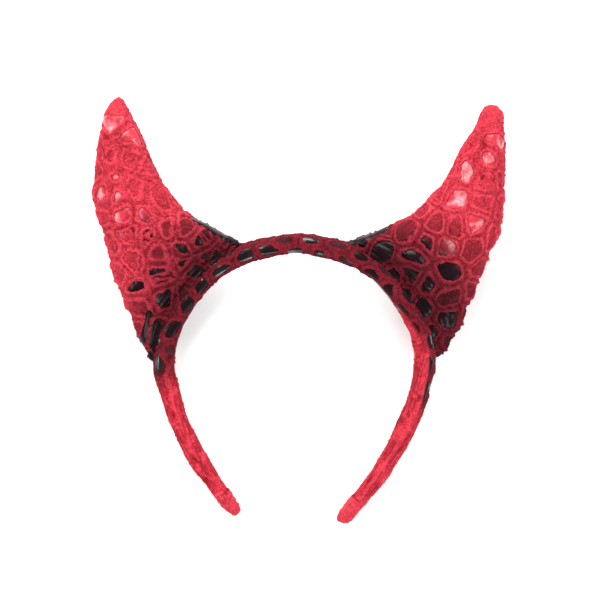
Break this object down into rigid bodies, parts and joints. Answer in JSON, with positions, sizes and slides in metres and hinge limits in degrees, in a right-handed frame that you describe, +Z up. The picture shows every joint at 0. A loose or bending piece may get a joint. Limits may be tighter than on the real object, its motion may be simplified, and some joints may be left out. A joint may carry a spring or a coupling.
{
  "type": "devil horns headband",
  "caption": "Fabric covered hoop headband with two stuffed curved horns on its shoulders, wrapped in coarse red lace, lying on its back.",
  "frame": {"origin": "centre of the bounding box in plan, at the plane the headband rests on", "axes": "+Z up with the front of the headband facing up, +Y from the leg ends towards the horn tips, +X from the left horn to the right horn as seen from the front"},
  "size_m": [0.1864, 0.192, 0.0368],
  "materials": {
    "band_fabric": "glossy coated cloth, near black",
    "band_lace": "dull red lace cord",
    "horn_fabric": "glossy coated cloth, red fading to black at the foot",
    "horn_lace": "dull red lace cord",
    "wrap_fabric": "red cloth folded over the leg end"
  },
  "bodies": {
    "root": {"band": "band_fabric", "band_lace": "band_lace", "horn_left": "horn_fabric", "horn_lace_left": "horn_lace", "end_wrap_left": "wrap_fabric", "horn_right": "horn_fabric", "horn_lace_right": "horn_lace", "end_wrap_right": "wrap_fabric"}
  },
  "joints": []
}
